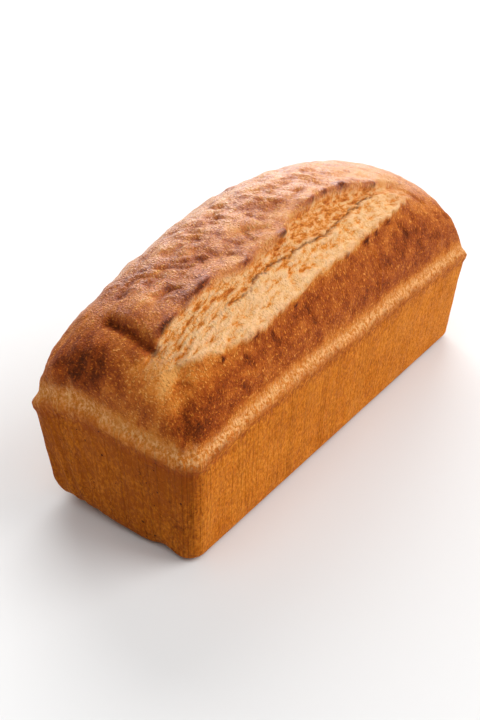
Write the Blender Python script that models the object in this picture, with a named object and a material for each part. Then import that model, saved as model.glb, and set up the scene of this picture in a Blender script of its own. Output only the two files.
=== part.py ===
"""A tin loaf: one baked solid, flat below, straight walled up to the rim of its tin, domed above it.

Metres, +Z up. The loaf lies along X and stands on its base at z = 0, centred on the origin.
The crust is torn open along the -Y shoulder of the dome.
"""

import bmesh
import bpy
import numpy as np

# The walls, as the tin left them
RIM_LENGTH = 0.285
RIM_WIDTH = 0.101
RIM_HEIGHT = 0.0645
WALL_TAPER = 0.077
CORNER_RADIUS = 0.009
CORNER_POWER = 6
CORNER_EVEN_INSIDE = 0.5
BASE_EDGE_RADIUS = 0.005
BACK_CORNER_ROUNDER = 0.010

# How far the rim line strays from its height along the -Y side and along the -X end
SIDE_RIM_WANDER = ((-0.1425, -0.0025), (-0.122, 0.0000), (-0.073, 0.0038), (-0.030, 0.0028),
                   (0.006, 0.0010), (0.041, 0.0020), (0.098, 0.0000), (0.126, -0.0005), (0.1425, -0.0050))
END_RIM_WANDER = ((-0.0505, -0.0025), (-0.021, 0.0000), (0.009, 0.0035), (0.026, 0.0040),
                  (0.038, 0.0010), (0.0505, -0.0040))

# The lip where the dough spread over the rim, the step in above it and the dome's own bulge
LIP_PROUD = 0.0012
LIP_HALF_HEIGHT = 0.0035
DOME_SET_IN = 0.0018
DOME_BULGE = 0.0024
BULGE_STARTS = 0.002
BULGE_FULL = 0.020

# The dome
DOME_RISE = 0.0734
RISE_TO_FAR_END = 0.034
LEAN_TO_BACK = 0.0080
ACROSS_POWER = 2.33
ALONG_POWER = 1.29
ALONG_ROOT = 2.78
CREST_ROUNDING = 0.04
CORNER_RADIUS_GROWS = 0.018
CORNER_GROWN_AT_RISE = 0.45

# The torn split: its two edges as places along X and shares of the dome's girth
# (-1 at the rim on the -Y side, 0 at the crest, +1 at the rim on the +Y side)
UPPER_BANK = ((-0.136, -0.24), (-0.100, -0.26), (-0.065, -0.35), (-0.033, -0.36),
              (0.000, -0.31), (0.035, -0.31), (0.065, -0.35), (0.100, -0.38))
LOWER_LIP = ((-0.136, -0.36), (-0.120, -0.46), (-0.104, -0.56), (-0.084, -0.62), (-0.065, -0.63),
             (0.000, -0.62), (0.040, -0.58), (0.074, -0.52), (0.100, -0.47))
SPLIT_START = (-0.136, -0.106)
SPLIT_END = (0.060, 0.100)
SPLIT_DEPTH = 0.0052
LIP_RAISED = 0.0018
BANK_RAISED = 0.0016

# Blisters and folds of the crust: place along X, girth share, half size along X,
# half size in girth share, height
CRUST_LUMPS = (
    (-0.110, -0.01, 0.012, 0.10, 0.0036),
    (-0.122, 0.05, 0.007, 0.15, -0.0028),
    (-0.137, 0.30, 0.010, 0.16, 0.0022),
    (-0.086, 0.34, 0.010, 0.08, 0.0016),
    (0.002, -0.24, 0.014, 0.06, 0.0020),
    (-0.031, -0.30, 0.012, 0.05, 0.0018),
    (-0.089, -0.20, 0.012, 0.05, 0.0016),
    (0.040, 0.10, 0.030, 0.25, 0.0014),
    (0.098, -0.46, 0.012, 0.07, -0.0014),
)
RELIEF_STARTS_ABOVE_RIM = 0.004
RELIEF_FULL_ABOVE_RIM = 0.014
WANDER_FADES_BY_RISE = 0.40

# The chip out of the base edge of the -X end
CHIP_PLACE = -0.026
CHIP_HALF_WIDTH = 0.006
CHIP_HEIGHT = 0.005
CHIP_DEPTH = 0.0030

# The mesh: cells along the dome, rows across it up to the lip, the bank, its top and the far
# rim, and the heights of the rings round the walls
CELLS_LONG = 60
ROWS_TO_LIP = 8
ROWS_TO_BANK = 17
ROWS_TO_BANK_TOP = 19
ROWS_ACROSS = 34
BANK_TOP_SHARE = 0.09
WALL_LEVELS = (0.0, 0.0015, 0.0050, 0.0095, 0.0150, 0.0350, 0.0580, 0.0620)


def clear_scene():
    for thing in list(bpy.data.objects):
        bpy.data.objects.remove(thing)


def soft_step(low, high, value):
    share = np.clip((value - low) / (high - low), 0, 1)
    return share * share * (3 - 2 * share)


def hump(value, half_size):
    return np.exp(-((value / half_size) ** 2))


def along_path(place, path):
    places, values = np.array(path).T
    return np.interp(place, places, values)


def unit_box():
    """A box whose lid is a fine grid: x and y run from -1 to 1, z from 0 at the base to 1 at the rim."""
    box = bmesh.new()
    bmesh.ops.create_grid(box, x_segments=CELLS_LONG, y_segments=ROWS_ACROSS, size=1)
    for corner in box.verts:
        corner.co.z = 1
    ring = [edge for edge in box.edges if edge.is_boundary]
    for level in reversed(WALL_LEVELS):
        made = bmesh.ops.extrude_edge_only(box, edges=ring)["geom"]
        edges = [piece for piece in made if isinstance(piece, bmesh.types.BMEdge)]
        ring = [edge for edge in edges if edge.is_boundary]
        for corner in {corner for edge in ring for corner in edge.verts}:
            corner.co.z = level / RIM_HEIGHT
    bmesh.ops.contextual_create(box, geom=ring)
    bmesh.ops.recalc_face_normals(box, faces=box.faces)
    return box


def girth_of_row(u, row_share):
    """Where a row of the grid lies across the dome: the rows run along the split's two edges."""
    x = RIM_LENGTH / 2 * np.sin(np.pi / 2 * u)
    lip = along_path(x, LOWER_LIP)
    bank = along_path(x, UPPER_BANK)
    rows = (0, ROWS_TO_LIP, ROWS_TO_BANK, ROWS_TO_BANK_TOP, ROWS_ACROSS)
    girths = (-1, lip, bank, bank + BANK_TOP_SHARE, 1)
    row = (row_share + 1) / 2 * ROWS_ACROSS
    girth = np.full_like(row, -1.0)
    for here, there, girth_here, girth_there in zip(rows, rows[1:], girths, girths[1:]):
        share = np.clip((row - here) / (there - here), 0, 1)
        girth = girth + share * (girth_there - girth_here)
    return girth


def plan_place(u, girth, radius):
    """Places in the rectangle of the rim, with rounded corners."""
    half_length = RIM_LENGTH / 2
    half_width = RIM_WIDTH / 2
    x = half_length * np.sin(np.pi / 2 * u)
    y = half_width * np.sin(np.pi / 2 * girth)
    past_x = np.clip(1 - (half_length - np.abs(x)) / radius, 0, 1)
    past_y = np.clip(1 - (half_width - np.abs(y)) / radius, 0, 1)
    farther = np.maximum(np.maximum(past_x, past_y), 1e-9)
    nearer = np.minimum(past_x, past_y)
    evened = 1 + (nearer / farther) ** CORNER_POWER
    inside = 1 - soft_step(CORNER_EVEN_INSIDE, 1, farther)
    pull = np.minimum(farther * evened ** (inside / CORNER_POWER) / np.hypot(farther, nearer), 1)
    x = x - np.sign(x) * radius * past_x * (1 - pull)
    y = y - np.sign(y) * radius * past_y * (1 - pull)
    return x, y


def base_edge_radius(x, y):
    """The base edge is rounder at the back corner of the -X end, where the dough did not fill the tin."""
    near_end = soft_step(0.5, 1, -x / (RIM_LENGTH / 2))
    to_back = soft_step(-0.5, 1, y / (RIM_WIDTH / 2))
    return BASE_EDGE_RADIUS + BACK_CORNER_ROUNDER * near_end * to_back


def outline_offset(z, base_radius):
    """How far out of the rim's rectangle the crust lies at a height: taper, base edge, lip, dome."""
    below_rim = np.clip(RIM_HEIGHT - z, 0, None)
    into_base = np.clip(base_radius - z, 0, None)
    rounding = base_radius - np.sqrt(base_radius**2 - into_base**2)
    lip_height = RIM_HEIGHT - LIP_HALF_HEIGHT
    lip = LIP_PROUD * hump(z - lip_height, LIP_HALF_HEIGHT)
    set_in = DOME_SET_IN * soft_step(lip_height, RIM_HEIGHT + LIP_HALF_HEIGHT, z)
    bulge = DOME_BULGE * soft_step(RIM_HEIGHT + BULGE_STARTS, RIM_HEIGHT + BULGE_FULL, z)
    return lip - set_in - rounding - WALL_TAPER * below_rim + bulge


def set_outline(x, y, z):
    out = outline_offset(z, base_edge_radius(x, y))
    x = x * (1 + out / (RIM_LENGTH / 2))
    y = y * (1 + out / (RIM_WIDTH / 2))
    return x, y


def rim_wander(u, girth):
    """How far the rim line strays from its height, spread over the plan from its two open sides."""
    x = RIM_LENGTH / 2 * np.sin(np.pi / 2 * u)
    y = RIM_WIDTH / 2 * np.sin(np.pi / 2 * girth)
    to_back = (y / RIM_WIDTH) + 0.5
    to_far_end = (x / RIM_LENGTH) + 0.5
    side = along_path(x, SIDE_RIM_WANDER)
    end = along_path(y, END_RIM_WANDER)
    near_corner = SIDE_RIM_WANDER[0][1]
    far_corner = SIDE_RIM_WANDER[-1][1]
    back_corner = END_RIM_WANDER[-1][1]
    sides = (1 - to_back) * side + to_back * back_corner
    ends = (1 - to_far_end) * end + to_far_end * ((1 - to_back) * far_corner + to_back * back_corner)
    near_end = (1 - to_back) * near_corner + to_back * back_corner
    far_end = (1 - to_back) * far_corner + to_back * back_corner
    return sides + ends - (1 - to_far_end) * near_end - to_far_end * far_end


def wall_places(u, girth, level):
    z = level * RIM_HEIGHT
    x, y = set_outline(*plan_place(u, girth, CORNER_RADIUS), z)
    chip = CHIP_DEPTH * hump(y - CHIP_PLACE, CHIP_HALF_WIDTH) * hump(z, CHIP_HEIGHT)
    x = np.where(x < CORNER_RADIUS - RIM_LENGTH / 2 + 2 * BASE_EDGE_RADIUS, x + chip, x)
    return np.stack([x, y, level * (RIM_HEIGHT + rim_wander(u, girth))], axis=-1)


def smooth_dome(u, girth):
    """The dome without its crust's relief."""
    from_crest = np.sqrt((np.sin(np.pi / 2 * u) ** 2 + CREST_ROUNDING) / (1 + CREST_ROUNDING))
    along = np.clip(1 - from_crest**ALONG_POWER, 0, 1) ** (1 / ALONG_ROOT)
    across = np.clip(1 - np.abs(np.sin(np.pi / 2 * girth)) ** ACROSS_POWER, 0, 1) ** 0.5
    rise = along * across * (1 + RISE_TO_FAR_END * np.sin(np.pi / 2 * u))
    z = RIM_HEIGHT + DOME_RISE * rise
    radius = CORNER_RADIUS + CORNER_RADIUS_GROWS * soft_step(0, CORNER_GROWN_AT_RISE, rise)
    x, y = set_outline(*plan_place(u, girth, radius), z)
    z = z + rim_wander(u, girth) * (1 - soft_step(0, WANDER_FADES_BY_RISE, rise))
    return np.stack([x, y + LEAN_TO_BACK * rise, z], axis=-1)


def crust_relief(x, girth):
    """How far the crust stands out from the smooth dome: the split, its raised edges, lumps and folds."""
    lip = along_path(x, LOWER_LIP)
    bank = along_path(x, UPPER_BANK)
    across_split = (girth - lip) / (bank - lip)
    open_here = soft_step(*SPLIT_START, x) * (1 - soft_step(*SPLIT_END, x))
    floor = soft_step(0, 0.85, across_split) * (1 - soft_step(0.90, 1.30, across_split))
    relief = LIP_RAISED * hump(across_split, 0.30) - SPLIT_DEPTH * floor
    relief = relief + BANK_RAISED * hump(across_split - 1.45, 0.35)
    relief = relief * open_here
    for place, at_girth, half_length, half_girth, height in CRUST_LUMPS:
        relief = relief + height * hump(x - place, half_length) * hump(girth - at_girth, half_girth)
    return relief


def dome_places(u, girth):
    """The dome with its relief laid on along its own normals, fading out at the rim."""
    nudge = 1e-3
    inner_u = np.clip(u, nudge - 1, 1 - nudge)
    inner_girth = np.clip(girth, nudge - 1, 1 - nudge)
    along = smooth_dome(inner_u + nudge, inner_girth) - smooth_dome(inner_u - nudge, inner_girth)
    across = smooth_dome(inner_u, inner_girth + nudge) - smooth_dome(inner_u, inner_girth - nudge)
    out = np.cross(along, across)
    out = out / np.linalg.norm(out, axis=-1, keepdims=True)
    smooth = smooth_dome(u, girth)
    above_rim = smooth[..., 2] - RIM_HEIGHT
    fade = soft_step(RELIEF_STARTS_ABOVE_RIM, RELIEF_FULL_ABOVE_RIM, above_rim)
    relief = crust_relief(smooth[..., 0], girth) * fade
    return smooth + out * relief[..., None]


def shape_loaf(box):
    """Moves every corner of the unit box to its place on the loaf, and centres the loaf's box."""
    u, row_share, height = np.array([corner.co for corner in box.verts]).T
    girth = girth_of_row(u, row_share)
    on_dome = height > 0.999
    places = np.where(on_dome[:, None], dome_places(u, girth), wall_places(u, girth, height))
    middle = (places.max(axis=0) + places.min(axis=0)) / 2
    places = places - np.array([middle[0], middle[1], 0])
    for corner, place in zip(box.verts, places):
        corner.co = place


def crust_material():
    crust = bpy.data.materials.new("crust")
    crust.use_nodes = True
    shader = crust.node_tree.nodes["Principled BSDF"]
    shader.inputs["Base Color"].default_value = (0.36, 0.14, 0.045, 1)
    shader.inputs["Roughness"].default_value = 0.55
    shader.inputs["Metallic"].default_value = 0
    return crust


def make_loaf():
    box = unit_box()
    shape_loaf(box)
    mesh = bpy.data.meshes.new("loaf")
    box.to_mesh(mesh)
    box.free()
    mesh.shade_smooth()
    mesh.set_sharp_from_angle(angle=np.radians(50))
    mesh.materials.append(crust_material())
    loaf = bpy.data.objects.new("loaf", mesh)
    bpy.context.scene.collection.objects.link(loaf)


clear_scene()
make_loaf()
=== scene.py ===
import math

import bmesh
import bpy
import numpy as np
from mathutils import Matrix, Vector, noise


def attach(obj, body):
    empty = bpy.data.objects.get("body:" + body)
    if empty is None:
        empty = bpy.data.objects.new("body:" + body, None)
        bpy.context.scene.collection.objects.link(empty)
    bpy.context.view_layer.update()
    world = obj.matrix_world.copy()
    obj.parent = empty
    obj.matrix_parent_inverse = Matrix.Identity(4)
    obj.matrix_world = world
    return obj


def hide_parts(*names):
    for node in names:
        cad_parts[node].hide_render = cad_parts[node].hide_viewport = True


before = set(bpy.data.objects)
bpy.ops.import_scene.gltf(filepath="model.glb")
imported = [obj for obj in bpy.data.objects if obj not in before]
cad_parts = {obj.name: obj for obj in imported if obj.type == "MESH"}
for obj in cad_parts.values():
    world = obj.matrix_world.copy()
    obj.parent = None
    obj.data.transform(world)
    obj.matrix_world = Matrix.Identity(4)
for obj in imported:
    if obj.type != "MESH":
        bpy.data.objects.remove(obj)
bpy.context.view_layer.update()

# ---------------------------------------------------------------------------------------------
# The loaf in its tin.  The dough takes the tin's straight tapered walls and rounded corners,
# spreads a little over the rim, and springs up above it into a dome that leans to the back.
# ---------------------------------------------------------------------------------------------
RIM_LENGTH = 0.285
RIM_WIDTH = 0.101
RIM_HEIGHT = 0.0645
WALL_TAPER = 0.077
CORNER_RADIUS = 0.009
BASE_EDGE_RADIUS = 0.005
BACK_CORNER_ROUNDER = 0.010
SIDE_RIM_WANDER = ((-0.1425, -0.0025), (-0.122, 0.0000), (-0.073, 0.0038), (-0.030, 0.0028),
                   (0.006, 0.0010), (0.041, 0.0020), (0.098, 0.0000), (0.126, -0.0005), (0.1425, -0.0050))
END_RIM_WANDER = ((-0.0505, -0.0025), (-0.021, 0.0000), (0.009, 0.0035), (0.026, 0.0040),
                  (0.038, 0.0010), (0.0505, -0.0040))
LIP_PROUD = 0.0012
LIP_HALF_HEIGHT = 0.0035
DOME_SET_IN = 0.0018
DOME_BULGE = 0.0024
DOME_RISE = 0.0734
RISE_TO_FAR_END = 0.034
LEAN_TO_BACK = 0.0080
ACROSS_POWER = 2.33
ALONG_POWER = 1.29
ALONG_ROOT = 2.78
CREST_ROUNDING = 0.04
CORNER_RADIUS_GROWS = 0.018
CORNER_GROWN_AT_RISE = 0.45
WANDER_FADES_BY_RISE = 0.40
CORNER_POWER = 6
CORNER_EVEN_INSIDE = 0.5
BULGE_STARTS = 0.002
BULGE_FULL = 0.020

# The split along the -Y shoulder: lower lip, crack and upper bank, as places along X and shares
# of the dome's girth (-1 at the rim on the -Y side, 0 at the crest, 1 at the rim behind)
LOWER_LIP = ((-0.140, -0.30), (-0.131, -0.31), (-0.121, -0.44), (-0.105, -0.56), (-0.084, -0.62),
             (-0.067, -0.635), (-0.040, -0.63), (-0.001, -0.62), (0.040, -0.58), (0.074, -0.52),
             (0.100, -0.47))
CRACK = ((-0.128, -0.29), (-0.108, -0.38), (-0.095, -0.41), (-0.090, -0.42), (-0.080, -0.43),
         (-0.070, -0.46), (-0.061, -0.43), (-0.048, -0.44), (-0.037, -0.46), (-0.025, -0.47),
         (-0.015, -0.47), (-0.004, -0.50), (0.013, -0.47), (0.028, -0.45), (0.042, -0.425),
         (0.055, -0.40), (0.080, -0.40), (0.100, -0.42))
UPPER_BANK = ((-0.140, -0.22), (-0.125, -0.22), (-0.104, -0.24), (-0.092, -0.25), (-0.079, -0.28),
              (-0.065, -0.34), (-0.048, -0.36), (-0.033, -0.36), (-0.018, -0.32), (-0.003, -0.30),
              (0.013, -0.29), (0.028, -0.30), (0.044, -0.32), (0.057, -0.34), (0.084, -0.35),
              (0.100, -0.38))

ROWS_BELOW_LIP = 0.03
ROWS_ABOVE_BANK = 0.14

CELLS_LONG = 340
ROW_BREAKS = (0, 34, 52, 76, 92, 190)
WALL_RINGS = 30


def soft_step(low, high, value):
    share = np.clip((value - low) / (high - low), 0, 1)
    return share * share * (3 - 2 * share)


def hump(value, half_size):
    return np.exp(-((value / half_size) ** 2))


def along_path(place, path, reach=0.003):
    """The value of a path at each place, rounded between its named points."""
    places, values = np.array(path).T
    return sum(np.interp(place + shift, places, values) for shift in (-reach, 0, reach)) / 3


def unit_box():
    """A box whose lid is a fine grid: x and y run from -1 to 1, z from 0 at the base to 1 at the rim."""
    box = bmesh.new()
    bmesh.ops.create_grid(box, x_segments=CELLS_LONG, y_segments=ROW_BREAKS[-1], size=1)
    for corner in box.verts:
        corner.co.z = 1
    ring = [edge for edge in box.edges if edge.is_boundary]
    for step in range(WALL_RINGS - 1, -1, -1):
        made = bmesh.ops.extrude_edge_only(box, edges=ring)["geom"]
        edges = [piece for piece in made if isinstance(piece, bmesh.types.BMEdge)]
        ring = [edge for edge in edges if edge.is_boundary]
        share = step / WALL_RINGS
        level = share * share * (1.35 - 0.35 * share)
        for corner in {corner for edge in ring for corner in edge.verts}:
            corner.co.z = 0.5 * (share + level)
    bmesh.ops.contextual_create(box, geom=ring)
    bmesh.ops.recalc_face_normals(box, faces=box.faces)
    mesh = bpy.data.meshes.new("loaf_crust")
    box.to_mesh(mesh)
    box.free()
    return mesh


def girth_of_row(u, row_share):
    """Where a row of the grid lies across the dome: rows run along the lip, crack and bank."""
    x = RIM_LENGTH / 2 * np.sin(np.pi / 2 * u)
    lip = along_path(x, LOWER_LIP)
    bank = along_path(x, UPPER_BANK)
    crack = along_path(x, CRACK)
    girths = (-1, lip - ROWS_BELOW_LIP, crack, bank, bank + ROWS_ABOVE_BANK, 1)
    row = (row_share + 1) / 2 * ROW_BREAKS[-1]
    girth = np.full_like(row, -1.0)
    for here, there, girth_here, girth_there in zip(ROW_BREAKS, ROW_BREAKS[1:], girths, girths[1:]):
        share = np.clip((row - here) / (there - here), 0, 1)
        girth = girth + share * (girth_there - girth_here)
    return girth


def plan_place(u, girth, radius):
    """Places in the rectangle of the rim, with rounded corners."""
    half_length = RIM_LENGTH / 2
    half_width = RIM_WIDTH / 2
    x = half_length * np.sin(np.pi / 2 * u)
    y = half_width * np.sin(np.pi / 2 * girth)
    past_x = np.clip(1 - (half_length - np.abs(x)) / radius, 0, 1)
    past_y = np.clip(1 - (half_width - np.abs(y)) / radius, 0, 1)
    farther = np.maximum(np.maximum(past_x, past_y), 1e-9)
    nearer = np.minimum(past_x, past_y)
    evened = 1 + (nearer / farther) ** CORNER_POWER
    inside = 1 - soft_step(CORNER_EVEN_INSIDE, 1, farther)
    pull = np.minimum(farther * evened ** (inside / CORNER_POWER) / np.hypot(farther, nearer), 1)
    x = x - np.sign(x) * radius * past_x * (1 - pull)
    y = y - np.sign(y) * radius * past_y * (1 - pull)
    return x, y


def set_outline(x, y, z):
    """Moves places in the plan out or in for their height: taper, base edge, lip, step in, bulge."""
    below_rim = np.clip(RIM_HEIGHT - z, 0, None)
    rounder = soft_step(0.5, 1, -x / (RIM_LENGTH / 2)) * soft_step(-0.5, 1, y / (RIM_WIDTH / 2))
    base_radius = BASE_EDGE_RADIUS + BACK_CORNER_ROUNDER * rounder
    into_base = np.clip(base_radius - z, 0, None)
    rounding = base_radius - np.sqrt(base_radius**2 - into_base**2)
    lip_height = RIM_HEIGHT - LIP_HALF_HEIGHT
    lip = LIP_PROUD * hump(z - lip_height, LIP_HALF_HEIGHT)
    set_in = DOME_SET_IN * soft_step(lip_height, RIM_HEIGHT + LIP_HALF_HEIGHT, z)
    bulge = DOME_BULGE * soft_step(RIM_HEIGHT + BULGE_STARTS, RIM_HEIGHT + BULGE_FULL, z)
    out = lip - set_in - rounding - WALL_TAPER * below_rim + bulge
    return x * (1 + out / (RIM_LENGTH / 2)), y * (1 + out / (RIM_WIDTH / 2))


def rim_wander(u, girth):
    """How far the rim line strays from its height, spread over the plan from its two open sides."""
    x = RIM_LENGTH / 2 * np.sin(np.pi / 2 * u)
    y = RIM_WIDTH / 2 * np.sin(np.pi / 2 * girth)
    to_back = (y / RIM_WIDTH) + 0.5
    to_far_end = (x / RIM_LENGTH) + 0.5
    back_corner = END_RIM_WANDER[-1][1]
    near_end = (1 - to_back) * SIDE_RIM_WANDER[0][1] + to_back * back_corner
    far_end = (1 - to_back) * SIDE_RIM_WANDER[-1][1] + to_back * back_corner
    sides = (1 - to_back) * along_path(x, SIDE_RIM_WANDER) + to_back * back_corner
    ends = (1 - to_far_end) * along_path(y, END_RIM_WANDER) + to_far_end * far_end
    return sides + ends - (1 - to_far_end) * near_end - to_far_end * far_end


def rise_of(u, girth):
    from_crest = np.sqrt((np.sin(np.pi / 2 * u) ** 2 + CREST_ROUNDING) / (1 + CREST_ROUNDING))
    along = np.clip(1 - from_crest**ALONG_POWER, 0, 1) ** (1 / ALONG_ROOT)
    across = np.clip(1 - np.abs(np.sin(np.pi / 2 * girth)) ** ACROSS_POWER, 0, 1) ** 0.5
    return along * across * (1 + RISE_TO_FAR_END * np.sin(np.pi / 2 * u))


def smooth_dome(u, girth):
    rise = rise_of(u, girth)
    z = RIM_HEIGHT + DOME_RISE * rise
    radius = CORNER_RADIUS + CORNER_RADIUS_GROWS * soft_step(0, CORNER_GROWN_AT_RISE, rise)
    x, y = set_outline(*plan_place(u, girth, radius), z)
    z = z + rim_wander(u, girth) * (1 - soft_step(0, WANDER_FADES_BY_RISE, rise))
    return np.stack([x, y + LEAN_TO_BACK * rise, z], axis=-1)


def wall_places(u, girth, level):
    x, y = set_outline(*plan_place(u, girth, CORNER_RADIUS), level * RIM_HEIGHT)
    return np.stack([x, y, level * (RIM_HEIGHT + rim_wander(u, girth))], axis=-1)


loaf_mesh = unit_box()
corner_count = len(loaf_mesh.vertices)
flat = np.empty(corner_count * 3)
loaf_mesh.vertices.foreach_get("co", flat)
u, row_share, level = flat.reshape(-1, 3).T.copy()
girth = girth_of_row(u, row_share)
on_dome = level > 0.9999
places = np.where(on_dome[:, None], smooth_dome(u, girth), wall_places(u, girth, level))
loaf_mesh.vertices.foreach_set("co", places.ravel())
loaf_mesh.update()
loaf_mesh.vertices.foreach_get("normal", flat)
outward = flat.reshape(-1, 3).copy()

# ---------------------------------------------------------------------------------------------
# The crust's relief: the dough tore along one shoulder in the oven, its skin wrinkled beside the
# tear, and the walls took a grain from the tin.  This relief is in the mesh; the finest grain
# is in the bump of the crust's material.
# ---------------------------------------------------------------------------------------------
half_length = RIM_LENGTH / 2
x, y, z = places.T
above_rim = np.where(on_dome, DOME_RISE * rise_of(u, girth), (level - 1) * RIM_HEIGHT)
profile_u = np.linspace(-1, 1, 2001)
profile = smooth_dome(profile_u, np.zeros(2001))
profile_arc = np.concatenate([[0], np.cumsum(np.linalg.norm(np.diff(profile, axis=0), axis=1))])
# Arc over the dome, in metres, for one share of its girth
GIRTH_ARC = 0.094
length_arc = np.interp(u, profile_u, profile_arc - profile_arc[-1] / 2)
girth_arc = girth * GIRTH_ARC
dome = soft_step(0.002, 0.012, above_rim)


def grain(across_a, across_b, size_a, size_b, seed):
    """Smooth noise over two lengths of skin, with lumps of two sizes in metres."""
    return np.array([noise.noise((a, b, seed)) for a, b in zip(across_a / size_a, across_b / size_b)])


def ridged(across_a, across_b, size_a, size_b, seed):
    return 1 - 2 * np.abs(grain(across_a, across_b, size_a, size_b, seed))


def distance_to_path(path, long_share=1.0):
    """Distance from a drawn line, by place along X and by arc over the girth."""
    points = [(place, at * GIRTH_ARC) for place, at in path]
    nearest = np.full(len(u), 1.0)
    for (ax, ay), (bx, by) in zip(points, points[1:]):
        span = (bx - ax) ** 2 + (by - ay) ** 2
        share = np.clip(((x - ax) * (bx - ax) + (girth_arc - ay) * (by - ay)) / span, 0, 1)
        away = np.hypot(x - ax - share * (bx - ax), girth_arc - ay - share * (by - ay))
        nearest = np.minimum(nearest, away)
    return np.where(on_dome, nearest, 1.0)


lip = along_path(x, LOWER_LIP)
bank = along_path(x, UPPER_BANK)
crack = along_path(x, CRACK)
ragged = (0.020 * grain(length_arc, girth_arc, 0.007, 0.007, 3.1)
          + 0.012 * grain(length_arc, girth_arc, 0.0025, 0.0025, 7.7))
ragged_girth = girth + ragged
across_split = (ragged_girth - lip) / (bank - lip)
across_crack = (crack - lip) / (bank - lip)
open_here = soft_step(-0.138, -0.112, x) * (1 - soft_step(0.062, 0.098, x)) * dome
torn = soft_step(-0.06, 0.06, across_split) * (1 - soft_step(0.92, 1.04, across_split)) * open_here
lower_half = torn * (1 - soft_step(-0.03, 0.03, (girth - crack)))
upper_half = torn - lower_half

# The torn floor: a lumpy lower bank up to the crack, a smoother valley, and the overhung upper bank
meander = 0.0016 * grain(length_arc, girth_arc, 0.012, 0.012, 31.0)
strands = ridged(length_arc, girth_arc + meander, 0.017, 0.0042, 11.3)
shreds = grain(length_arc + 0.6 * girth_arc, girth_arc + meander, 0.0070, 0.0026, 5.9)
valley = 0.0014 + 0.0020 * soft_step(-0.090, -0.030, x)
relief = open_here * (
    0.0017 * hump(across_split, 0.15)
    - 0.0006 * soft_step(0.05, 0.3, across_split) * (1 - soft_step(0.9, 1.05, across_split))
    - valley * soft_step(-0.02, 0.05, girth - crack) * (1 - soft_step(0.88, 1.06, across_split))
    + 0.0016 * hump(across_split - 1.22, 0.22)
)
relief = (relief + lower_half * (0.0015 * strands + 0.0012 * shreds)
          + upper_half * (0.0007 * strands + 0.0008 * shreds))
relief = relief + 0.0010 * hump(across_split - 0.01, 0.05) * open_here
crack_line = np.abs(ragged_girth - crack) * GIRTH_ARC
crack_open = soft_step(-0.100, -0.070, x) * (1 - soft_step(0.050, 0.066, x)) * dome
relief = relief - (0.0008 + 0.0012 * soft_step(-0.06, -0.02, x)) * crack_open * hump(crack_line, 0.0006)

# Lumps of crust along the upper bank and blisters along the lower one: place along X, girth share,
# half length, half girth, height and how far it hangs towards -Y
BANK_LUMPS = (
    (-0.113, -0.215, 0.006, 0.030, 0.0012, 0.0008),
    (-0.089, -0.225, 0.0075, 0.034, 0.0022, 0.0018),
    (-0.062, -0.320, 0.006, 0.025, 0.0010, 0.0008),
    (-0.031, -0.340, 0.0075, 0.030, 0.0022, 0.0018),
    (0.001, -0.275, 0.0080, 0.034, 0.0022, 0.0018),
    (0.016, -0.270, 0.005, 0.025, 0.0012, 0.0010),
    (0.032, -0.275, 0.0070, 0.032, 0.0019, 0.0014),
    (0.059, -0.330, 0.0070, 0.030, 0.0017, 0.0012),
)
BLISTERS = (
    (-0.083, -0.625, 0.0032, 0.020, 0.0020, 0.0),
    (-0.104, -0.590, 0.0018, 0.012, 0.0009, 0.0),
    (-0.048, -0.660, 0.0016, 0.012, 0.0008, 0.0),
    (0.001, -0.620, 0.0022, 0.016, 0.0013, 0.0),
    (0.022, -0.610, 0.0030, 0.020, 0.0016, 0.0),
    (0.035, -0.600, 0.0020, 0.014, 0.0011, 0.0),
    (0.051, -0.580, 0.0028, 0.016, 0.0015, 0.0),
)
scorch_and_painted_shade = np.zeros(len(u))
hang = np.zeros(len(u))
warp = 0.0022 * grain(length_arc, girth_arc, 0.004, 0.004, 41.0)
for place, at, half_long, half_girth, height, hangs in BANK_LUMPS + BLISTERS:
    along = x + warp - place + 0.35 * (girth - at) * GIRTH_ARC
    across = girth + 8 * warp - at
    here = hump(along, half_long) * hump(across, half_girth) * dome
    relief = relief + 1.4 * height * here
    hang = hang + hangs * here
    # Each lump and blister is darkened off its middle, towards -Y where it hangs: browner crust on the lumps and
    # blister tips, and painted shade under the overhang
    scorch_and_painted_shade = (scorch_and_painted_shade + 0.70 * hump(along - 0.2 * half_long, half_long * 0.9)
              * hump(across + 0.5 * half_girth, half_girth * 0.9) * dome)

# Wrinkles of the skin above the tear: pads parted by sharp troughs that run down the shoulder
bend = 0.0035 * grain(length_arc, girth_arc, 0.016, 0.016, 51.0)
down_along = 0.40 * length_arc - 0.92 * girth_arc
over_along = 0.92 * length_arc + 0.40 * girth_arc + bend
wrinkled = (soft_step(1.05, 1.35, across_split) * (1 - soft_step(0.0, 0.6, girth))
            * soft_step(-0.122, -0.098, x) * (1 - 0.75 * soft_step(0.02, 0.09, x)) * dome)
patchy = 0.35 + 0.65 * soft_step(-0.25, 0.35, grain(length_arc, girth_arc, 0.016, 0.014, 61.0))
troughs = np.clip(ridged(down_along, over_along, 0.018, 0.0058, 2.2), 0, 1) ** 2
fine_troughs = np.clip(ridged(down_along, over_along, 0.009, 0.0030, 8.8), 0, 1) ** 2
wrinkles = wrinkled * patchy * (0.75 * troughs + 0.4 * fine_troughs)
WRINKLE_DEPTH = 0.0022
relief = relief - WRINKLE_DEPTH * wrinkles
# The pimples also lighten the crust's colour on their tops: painted highlight
pimples = grain(length_arc, girth_arc, 0.0030, 0.0032, 6.1)
relief = relief + dome * (1 - torn) * (
    0.0010 * grain(length_arc, girth_arc, 0.034, 0.026, 1.7)
    + (0.0004 + 0.0007 * soft_step(-0.1, 0.2, girth)) * grain(length_arc, girth_arc, 0.010, 0.008, 4.4)
    + 0.00022 * pimples
)

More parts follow.
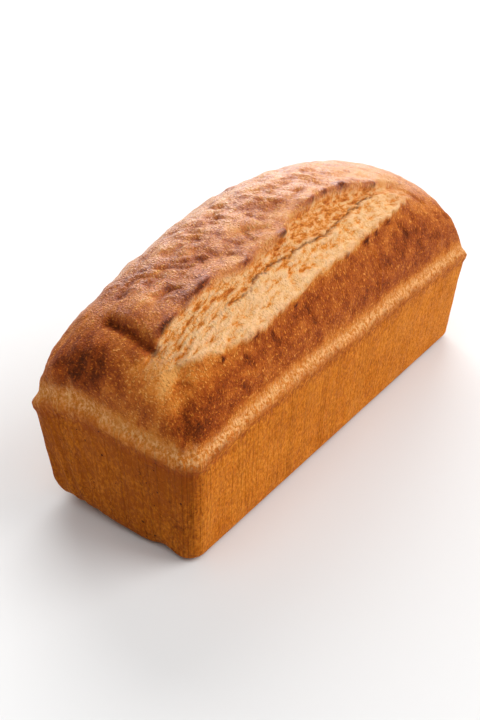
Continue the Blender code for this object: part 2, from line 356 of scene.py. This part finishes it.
# Scars where a bubble of the skin burst, mostly on the -X half: place along X, girth share, length
SCARS = ((-0.084, 0.060, 0.0045), (-0.060, 0.020, 0.0030), (-0.052, -0.080, 0.0035), (-0.040, 0.070, 0.0030),
         (-0.071, -0.120, 0.0028), (-0.020, 0.050, 0.0034), (-0.008, -0.060, 0.0026), (-0.030, -0.170, 0.0040),
         (0.020, -0.120, 0.0030), (-0.104, 0.160, 0.0040), (-0.095, -0.080, 0.0026), (0.038, -0.030, 0.0028),
         (0.010, 0.080, 0.0026), (-0.062, -0.220, 0.0032), (-0.012, -0.190, 0.0030), (0.060, -0.160, 0.0030))
for place, at, length in SCARS:
    down = 0.35 * (x - place) - 0.94 * (girth - at) * GIRTH_ARC
    over = 0.94 * (x - place) + 0.35 * (girth - at) * GIRTH_ARC + 0.6 * warp
    scar = hump(down, 1.3 * length) * hump(over, 0.0011) * dome
    relief = relief - 0.0007 * scar + 0.0004 * hump(down, length) * hump(over - 0.0025, 0.0016) * dome
    scorch_and_painted_shade = scorch_and_painted_shade + 0.22 * scar

# Folds over the -X end, where the dome's skin sagged: a trench with a bulge above it and a
# second, scorched fold beyond it, and the drawn-in crease at the +X end of the split
FOLD_TRENCH = ((-0.119, 0.14), (-0.121, -0.05), (-0.123, -0.23))
SCORCHED_FOLD = ((-0.141, 0.44), (-0.137, 0.28), (-0.132, 0.12))
FAR_CREASE = ((0.080, -0.36), (0.093, -0.45), (0.101, -0.53))
CRESCENT = ((0.022, -0.62), (0.030, -0.70), (0.031, -0.78), (0.027, -0.86), (0.024, -0.94))
SMALL_CREASES = (((-0.126, -0.49), (-0.124, -0.56)), ((-0.091, -0.68), (-0.088, -0.75)),
                 ((-0.098, -0.81), (-0.095, -0.88)), ((-0.070, -0.70), (-0.068, -0.76)),
                 ((-0.040, -0.72), (-0.037, -0.80)), ((0.062, -0.63), (0.066, -0.70)))
trench = distance_to_path(FOLD_TRENCH)
scorched_fold = distance_to_path(SCORCHED_FOLD)
TRENCH_DEPTH = 0.0040
FOLD_BULGE = 0.0034
relief = (relief - TRENCH_DEPTH * hump(trench, 0.0027)
          + FOLD_BULGE * hump(x + 0.110, 0.009) * hump(girth + 0.01, 0.10) * dome)
SCORCHED_FOLD_HOLLOW = ((-0.1415, 0.30), (-0.138, 0.10))
relief = (relief + 0.0014 * hump(scorched_fold, 0.005)
          - 0.0010 * hump(distance_to_path(SCORCHED_FOLD_HOLLOW), 0.004))
relief = relief - 0.0016 * hump(distance_to_path(FAR_CREASE), 0.0020)
relief = relief + 0.00055 * hump(distance_to_path(CRESCENT), 0.0009)
# The small creases are dented and darkened along their lines: the darkening is painted shade in the creases
for crease in SMALL_CREASES:
    scorch_and_painted_shade = scorch_and_painted_shade + 0.24 * hump(distance_to_path(crease), 0.0020)
    relief = relief - 0.0005 * hump(distance_to_path(crease), 0.0012)
# Shallow dents in the crest: place along X, girth share, depth
DENTS = ((-0.022, -0.20, 0.0008), (-0.013, -0.24, 0.0010),
         (-0.050, -0.15, 0.0009), (-0.084, 0.06, 0.0008))
for place, at, depth in DENTS:
    relief = relief - depth * hump(x - place, 0.007) * hump(girth - at, 0.035) * dome

# The walls: the tin's slight waviness, vertical grain, and the shreds drawn out over the rim
wall = 1 - soft_step(-0.006, -0.001, above_rim)
half_width = RIM_WIDTH / 2
off_side = np.abs(x) - half_length > np.abs(y) - half_width
past_end = -half_length - (y + half_width)
round_end = np.where(x < 0, past_end, -past_end)
round_side = np.where(y < 0, x, past_end - (x + half_length))
round_wall = np.where(off_side, round_end, round_side)
wall_fade = soft_step(0.0015, 0.006, z)
relief = relief + wall * wall_fade * (
    0.0006 * grain(round_wall, z, 0.030, 0.030, 9.2) + 0.0003 * grain(round_wall, z, 0.006, 0.014, 12.5)
    + 0.00015 * grain(round_wall, z, 0.0022, 0.005, 14.5)
)
on_end = x < -half_length * 0.93
back_share = soft_step(-0.030, 0.035, y)
band_reach = np.where(on_end, 0.0030 + 0.0030 * back_share, 0.0026)
band_reach = band_reach * (1 + 0.5 * grain(round_wall, 0 * z, 0.0030, 1, 17.5))
band = hump(above_rim - np.where(on_end, 0.0012 + 0.0026 * back_share, 0.0006), band_reach)
folds = (wall * wall_fade * on_end * soft_step(0.0, 0.030, y)
         * ridged(round_wall + 0.25 * z, z, 0.0044, 0.060, 18.5))
relief = relief + 0.0006 * folds
relief = relief + band * 0.0004 * grain(round_wall, z, 0.0022, 0.006, 15.5)
relief = (relief - 0.0005 * hump(above_rim + 0.0075, 0.0016)
          * (0.6 + grain(round_wall, z, 0.02, 0.02, 16.5)))
chip = 0.0030 * hump(y + 0.026, 0.006) * hump(z, 0.005)
places = places + outward * relief[:, None]
places[:, 1] -= hang * 0.8
places[:, 2] -= hang * 0.5
places[:, 0] += np.where(x < -half_length + 0.019, chip, 0)
loaf_mesh.vertices.foreach_set("co", places.ravel())
loaf_mesh.update()
loaf_mesh.shade_smooth()
loaf = bpy.data.objects.new("loaf_crust", loaf_mesh)
bpy.context.scene.collection.objects.link(loaf)

# ---------------------------------------------------------------------------------------------
# The crust's colour: baked brown where the dome faced the heat, golden on the walls, pale where
# the dough was drawn out over the rim and where it tore late in the oven.
# Some of the colour is painted light and shade: shade in the crack, trench, wrinkles and creases and under the
# lumps, highlights on the lip and pimples, and light and shade over the -X end and the torn floor.
# ---------------------------------------------------------------------------------------------
# Where the crust is darker or lighter, partly browning and partly painted light and shade: the
# lighter patches on the -X end's shoulder and on the fold's bulge are painted light, and the darker
# patches over the -X end are browner crust with painted shade where that end is turned from the
# light.  Place along the skin, girth share, half length, half girth, amount
BROWNING_AND_PAINTED_LIGHT = (
    (-0.146, -0.72, 0.022, 0.26, 0.22),
    (-0.141, -0.40, 0.014, 0.15, -0.40),
    (-0.152, 0.16, 0.012, 0.34, 0.36),
    (-0.112, -0.02, 0.011, 0.12, -0.22),
    (0.060, -0.76, 0.040, 0.16, 0.10),
    (0.072, -0.20, 0.030, 0.15, -0.12),
)
# The crust's browning, with painted light and shade added to it below: shade in the trench, wrinkles and creases
# and under the lumps, highlights on the lower lip and the pimples
browning_and_painted_light = (0.40 + 0.12 * grain(length_arc, girth_arc, 0.030, 0.030, 21.0)
        + 0.18 * grain(length_arc, girth_arc, 0.009, 0.007, 22.0))
for place, at, half_long, half_girth, amount in BROWNING_AND_PAINTED_LIGHT:
    browning_and_painted_light = browning_and_painted_light + amount * hump(length_arc - place, half_long) * hump(girth - at, half_girth)
browning_and_painted_light = browning_and_painted_light + 0.17 * soft_step(-0.55, -0.75, girth) - 0.28 * hump(above_rim - 0.003, 0.0044)
# Darker in the wrinkles' troughs and in the fold's trench: painted shade. A little browner on the scorched fold.
# Lighter on the pimples' tops: painted highlight
browning_and_painted_light = (browning_and_painted_light + 0.32 * wrinkles + 0.08 * hump(scorched_fold, 0.007)
        + 0.45 * hump(trench, 0.0024) - 0.12 * pimples)
# Lighter along the lower lip: painted highlight on the lip's raised edge
browning_and_painted_light = browning_and_painted_light - 0.30 * hump(across_split + 0.01, 0.05) * open_here
browning_and_painted_light = browning_and_painted_light - 0.20 * soft_step(-0.50, -0.30, girth) * soft_step(-0.12, -0.05, length_arc)
browning_and_painted_light = np.clip(browning_and_painted_light + scorch_and_painted_shade, 0, 0.95)
sheen = ((1 - 0.7 * soft_step(0.50, 0.85, browning_and_painted_light)) * dome * (1 - 0.65 * torn)
         * (0.05 + 0.95 * soft_step(-0.62, -0.30, girth)))
sheen = sheen * (0.10 + 0.90 * soft_step(-0.145, -0.090, length_arc))
# The torn floor's tone, pale crumb with painted light and shade on it: lighter on the ridges of strands and
# shreds and along the lower lip (painted highlight), darker in the upper half's valley under the bank (painted
# shade), lighter over the -X third and darker again at the split's -X tip
torn_tone_and_painted_light = (0.62 + 0.32 * strands + 0.75 * shreds - 0.36 * upper_half
               + 0.14 * soft_step(0.02, 0.07, -x))
torn_tone_and_painted_light = torn_tone_and_painted_light - 0.22 * soft_step(0.108, 0.125, -x) + 0.45 * hump(across_split - 0.02, 0.06)
# The -X end face is darker: partly browner crust, partly painted shade of the end turned from the light, deeper
# on its -Y half below the band; its folds are a little lighter on their ridges, painted light. The +X half is a
# little lighter
under_band = (1 - soft_step(-0.005, 0.020, y)) * hump(above_rim + 0.010, 0.007)
darker_end = -0.125 + 0.05 * folds - 0.06 * under_band
wall_tone = (darker_end * soft_step(half_length - 0.012, half_length - 0.002, -x)
             + 0.02 * soft_step(-0.05, 0.08, x))
SKIN_LAYERS = (
    ("browning_and_painted_light", browning_and_painted_light),
    ("torn", torn),
    ("wall", wall),
    ("band", band),
    # The crack layer carries painted shade in the crack's groove
    ("crack", hump(crack_line, 0.0005) * crack_open),
    ("sheen", sheen),
    ("torn_tone_and_painted_light", torn_tone_and_painted_light),
    ("wall_tone", wall_tone),
    ("hairlines", wall * soft_step(half_length - 0.012, half_length - 0.006, -x)),
    # The crease layer carries painted shade in the groove below the rim
    ("crease", hump(above_rim + 0.0070, 0.0030)),
)
for name, values in SKIN_LAYERS:
    layer = loaf_mesh.attributes.new(name, "FLOAT", "POINT")
    layer.data.foreach_set("value", values.astype(np.float32))
skin = loaf_mesh.attributes.new("skin", "FLOAT_VECTOR", "POINT")
skin_places = np.stack([length_arc, girth_arc, 0 * x], axis=-1)
skin.data.foreach_set("vector", skin_places.astype(np.float32).ravel())

crust = bpy.data.materials.new("crust")
crust.use_nodes = True
tree = crust.node_tree
shader = tree.nodes["Principled BSDF"]


def put(socket, value):
    """Sets an input to a plain value, or joins it to another node's output."""
    if isinstance(value, bpy.types.NodeSocket):
        tree.links.new(value, socket)
    else:
        socket.default_value = value


def attribute(name, output="Fac"):
    node = tree.nodes.new("ShaderNodeAttribute")
    node.attribute_name = name
    return node.outputs[output]


def maths(operation, first, second=0.0, clamp=False):
    node = tree.nodes.new("ShaderNodeMath")
    node.operation = operation
    node.use_clamp = clamp
    put(node.inputs[0], first)
    put(node.inputs[1], second)
    return node.outputs[0]


def between(value, low, high, low_out=0.0, high_out=1.0):
    node = tree.nodes.new("ShaderNodeMapRange")
    node.interpolation_type = "SMOOTHSTEP"
    put(node.inputs["Value"], value)
    for name, number in (("From Min", low), ("From Max", high), ("To Min", low_out), ("To Max", high_out)):
        node.inputs[name].default_value = number
    return node.outputs["Result"]


def stretched(vector, scale):
    node = tree.nodes.new("ShaderNodeMapping")
    put(node.inputs["Vector"], vector)
    node.inputs["Scale"].default_value = scale
    return node.outputs["Vector"]


def noise_of(vector, scale, detail=3.0, roughness=0.55):
    node = tree.nodes.new("ShaderNodeTexNoise")
    put(node.inputs["Vector"], vector)
    node.inputs["Scale"].default_value = scale
    node.inputs["Detail"].default_value = detail
    node.inputs["Roughness"].default_value = roughness
    return node.outputs["Fac"]


def colours(value, *stops):
    node = tree.nodes.new("ShaderNodeValToRGB")
    put(node.inputs["Fac"], value)
    ramp = node.color_ramp
    while len(ramp.elements) < len(stops):
        ramp.elements.new(0.5)
    for element, (place, colour) in zip(ramp.elements, stops):
        element.position = place
        element.color = (*colour, 1)
    return node.outputs["Color"]


def mixed(share, first, second):
    node = tree.nodes.new("ShaderNodeMix")
    node.data_type = "RGBA"
    put(node.inputs[0], share)
    for socket, value in ((node.inputs[6], first), (node.inputs[7], second)):
        put(socket, value if isinstance(value, bpy.types.NodeSocket) else (*value, 1))
    return node.outputs[2]


PALE_GOLD = (0.84, 0.38, 0.10)
GOLD = (0.72, 0.23, 0.030)
AMBER = (0.53, 0.130, 0.014)
BROWN = (0.34, 0.064, 0.007)
DARK_BROWN = (0.17, 0.030, 0.004)
SCORCHED = (0.070, 0.015, 0.003)
WALL_LIGHT = (0.74, 0.25, 0.026)
WALL_GOLD = (0.58, 0.165, 0.010)
WALL_BROWN = (0.36, 0.080, 0.004)
CRUMB_LIGHT = (0.98, 0.58, 0.29)
CRUMB_PALE = (0.93, 0.50, 0.20)
CRUMB_GOLD = (0.84, 0.28, 0.035)
CRUMB_BROWN = (0.52, 0.125, 0.012)

at_object = tree.nodes.new("ShaderNodeTexCoord").outputs["Object"]
on_skin = attribute("skin", "Vector")
mottle = noise_of(at_object, 140, 4, 0.6)
fine = noise_of(at_object, 850, 3, 0.65)
pores = noise_of(at_object, 1500, 2, 0.6)
flecks = noise_of(stretched(on_skin, (1, 0.55, 1)), 900, 1, 0.5)
wall_grain = noise_of(stretched(at_object, (1, 1, 0.70)), 700, 4, 0.66)
wall_clouds = noise_of(at_object, 60, 3, 0.5)
strand_grain = noise_of(stretched(on_skin, (0.5, 1, 1)), 520, 5, 0.68)

# The crust's browning with its painted light and shade, broken up by mottle, fine grain and pale flecks
browning_and_painted_light_here = maths("ADD", attribute("browning_and_painted_light"), maths("MULTIPLY", maths("SUBTRACT", mottle, 0.5), 0.50))
browning_and_painted_light_here = maths("ADD", browning_and_painted_light_here, maths("MULTIPLY", maths("SUBTRACT", fine, 0.5), 0.75))
browning_and_painted_light_here = maths("SUBTRACT", browning_and_painted_light_here, maths("MULTIPLY", between(flecks, 0.57, 0.69), 0.34))
dome_colour = colours(maths("MULTIPLY", browning_and_painted_light_here, 1.0, clamp=True),
                      (0.0, PALE_GOLD), (0.22, GOLD), (0.42, AMBER),
                      (0.62, BROWN), (0.82, DARK_BROWN), (1.0, SCORCHED))
wall_shade = maths("ADD", maths("MULTIPLY", wall_grain, 0.75), maths("MULTIPLY", wall_clouds, 0.25))
wall_shade = maths("ADD", wall_shade, attribute("wall_tone"))
wall_colour = colours(wall_shade, (0.34, WALL_BROWN), (0.50, WALL_GOLD), (0.64, WALL_LIGHT))
# Painted shade in the groove below the rim: the wall is darkened towards brown along it
crease_painted_shade = maths("MULTIPLY", attribute("crease"), between(wall_grain, 0.62, 0.40))
wall_colour = mixed(crease_painted_shade, wall_colour, BROWN)
hair_noise = maths("ABSOLUTE", maths("SUBTRACT", noise_of(at_object, 38, 3, 0.6), 0.47))
hairs = maths("MULTIPLY", between(hair_noise, 0.0065, 0.0), attribute("hairlines"))
wall_colour = mixed(maths("MULTIPLY", hairs, 0.7), wall_colour, DARK_BROWN)
body = mixed(attribute("wall"), dome_colour, wall_colour)
band_share = maths("MULTIPLY", attribute("band"), between(wall_grain, 0.30, 0.60, 0.65, 1.0))
band_tone = maths("ADD", wall_grain, maths("MULTIPLY", attribute("wall_tone"), 0.3))
band_colour = colours(band_tone, (0.28, AMBER), (0.42, GOLD), (0.58, CRUMB_PALE))
body = mixed(band_share, body, band_colour)
# The torn floor's colour, with its painted light and shade
torn_tone = maths("ADD", maths("MULTIPLY", attribute("torn_tone_and_painted_light"), 0.60),
                  maths("MULTIPLY", between(strand_grain, 0.36, 0.64), 0.52))
torn_colour = colours(torn_tone, (0.18, CRUMB_BROWN), (0.44, CRUMB_GOLD), (0.70, CRUMB_PALE), (1.0, CRUMB_LIGHT))
body = mixed(attribute("torn"), body, torn_colour)
# Painted shade in the crack: the crust is darkened towards dark brown along its line
body = mixed(maths("MULTIPLY", attribute("crack"), 0.8), body, DARK_BROWN)
pinhole_noise = noise_of(at_object, 300, 0, 0.5)
pinholes = maths("MULTIPLY", between(pinhole_noise, 0.810, 0.825), attribute("hairlines"))
body = mixed(pinholes, body, SCORCHED)
put(shader.inputs["Base Color"], body)

put(shader.inputs["Coat Weight"], maths("MULTIPLY", attribute("sheen"), between(mottle, 0.35, 0.65, 0.80, 1.0)))
shader.inputs["Coat Roughness"].default_value = 0.30
shader.inputs["Coat IOR"].default_value = 1.6
shader.inputs["Specular IOR Level"].default_value = 0.06
put(shader.inputs["Roughness"], between(mottle, 0.3, 0.7, 0.55, 0.75))
shader.inputs["Subsurface Weight"].default_value = 0.1
shader.inputs["Subsurface Scale"].default_value = 0.002

off_wall = maths("SUBTRACT", 1.0, attribute("wall"))
fine_heights = maths("ADD", maths("MULTIPLY", fine, 1.3), maths("MULTIPLY", pores, 0.5))
dome_heights = maths("MULTIPLY", fine_heights, off_wall)
dome_heights = maths("ADD", dome_heights, maths("MULTIPLY", between(flecks, 0.52, 0.70), 0.45))
heights = maths("ADD", dome_heights, maths("MULTIPLY", maths("MULTIPLY", wall_grain, attribute("wall")), 1.1))
heights = maths("ADD", heights, maths("MULTIPLY", maths("MULTIPLY", strand_grain, attribute("torn")), 1.0))
bump = tree.nodes.new("ShaderNodeBump")
bump.inputs["Distance"].default_value = 0.0012
bump.inputs["Strength"].default_value = 1.0
put(bump.inputs["Height"], heights)
put(shader.inputs["Normal"], bump.outputs["Normal"])
put(shader.inputs["Coat Normal"], bump.outputs["Normal"])
loaf_mesh.materials.append(crust)
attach(loaf, "root")
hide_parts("loaf")

# ---------------------------------------------------------------------------------------------
# The table the loaf stands on, the window light and the camera
# ---------------------------------------------------------------------------------------------
FLOOR_HALF = 4.0
PALE_TABLE = (0.735, 0.732, 0.730, 1)
ROOM_LIGHT = 0.28
floor_mesh = bpy.data.meshes.new("table_top")
corners = [(-FLOOR_HALF, -FLOOR_HALF, 0), (FLOOR_HALF, -FLOOR_HALF, 0),
           (FLOOR_HALF, FLOOR_HALF, 0), (-FLOOR_HALF, FLOOR_HALF, 0)]
floor_mesh.from_pydata(corners, [], [(0, 1, 2, 3)])
table = bpy.data.objects.new("table_top", floor_mesh)
bpy.context.scene.collection.objects.link(table)
paint = bpy.data.materials.new("pale_table")
paint.use_nodes = True
paint.node_tree.nodes["Principled BSDF"].inputs["Base Color"].default_value = PALE_TABLE
paint.node_tree.nodes["Principled BSDF"].inputs["Specular IOR Level"].default_value = 0.1
paint.node_tree.nodes["Principled BSDF"].inputs["Roughness"].default_value = 0.6
floor_mesh.materials.append(paint)

world = bpy.data.worlds.new("room")
bpy.context.scene.world = world
world.use_nodes = True
world.node_tree.nodes["Background"].inputs["Color"].default_value = (1, 1, 1, 1)
world.node_tree.nodes["Background"].inputs["Strength"].default_value = ROOM_LIGHT


def soft_sun(name, towards, spread, strength):
    """Even light from a wide window far off, given by its direction, its spread in degrees and its strength."""
    lamp = bpy.data.lights.new(name, "SUN")
    lamp.angle = math.radians(spread)
    lamp.energy = strength
    stand = bpy.data.objects.new(name, lamp)
    stand.rotation_euler = (-Vector(towards)).to_track_quat("-Z", "Y").to_euler()
    bpy.context.scene.collection.objects.link(stand)


soft_sun("side_window", (0.50, -0.66, 0.53), 50, 2.4)
soft_sun("back_window", (0.70, 0.55, 0.42), 48, 2.9)
soft_sun("roof_window", (-0.20, -0.15, 0.97), 60, 1.1)

CAMERA_AIM = Vector((0.0294, 0.0469, 0))
CAMERA_AWAY = 0.6297
CAMERA_TURN = math.radians(-54.54)
CAMERA_RAISED = math.radians(30.80)
LENS_MM = 50
FRAME_MM = 36
towards_camera = Vector((math.sin(CAMERA_TURN) * math.cos(CAMERA_RAISED),
                         -math.cos(CAMERA_TURN) * math.cos(CAMERA_RAISED),
                         math.sin(CAMERA_RAISED)))
lens = bpy.data.cameras.new("camera")
lens.lens = LENS_MM
lens.sensor_width = FRAME_MM
camera = bpy.data.objects.new("camera", lens)
camera.location = CAMERA_AIM + CAMERA_AWAY * towards_camera
camera.rotation_euler = (-towards_camera).to_track_quat("-Z", "Y").to_euler()
bpy.context.scene.collection.objects.link(camera)
bpy.context.scene.camera = camera
bpy.context.scene.view_settings.view_transform = "Standard"
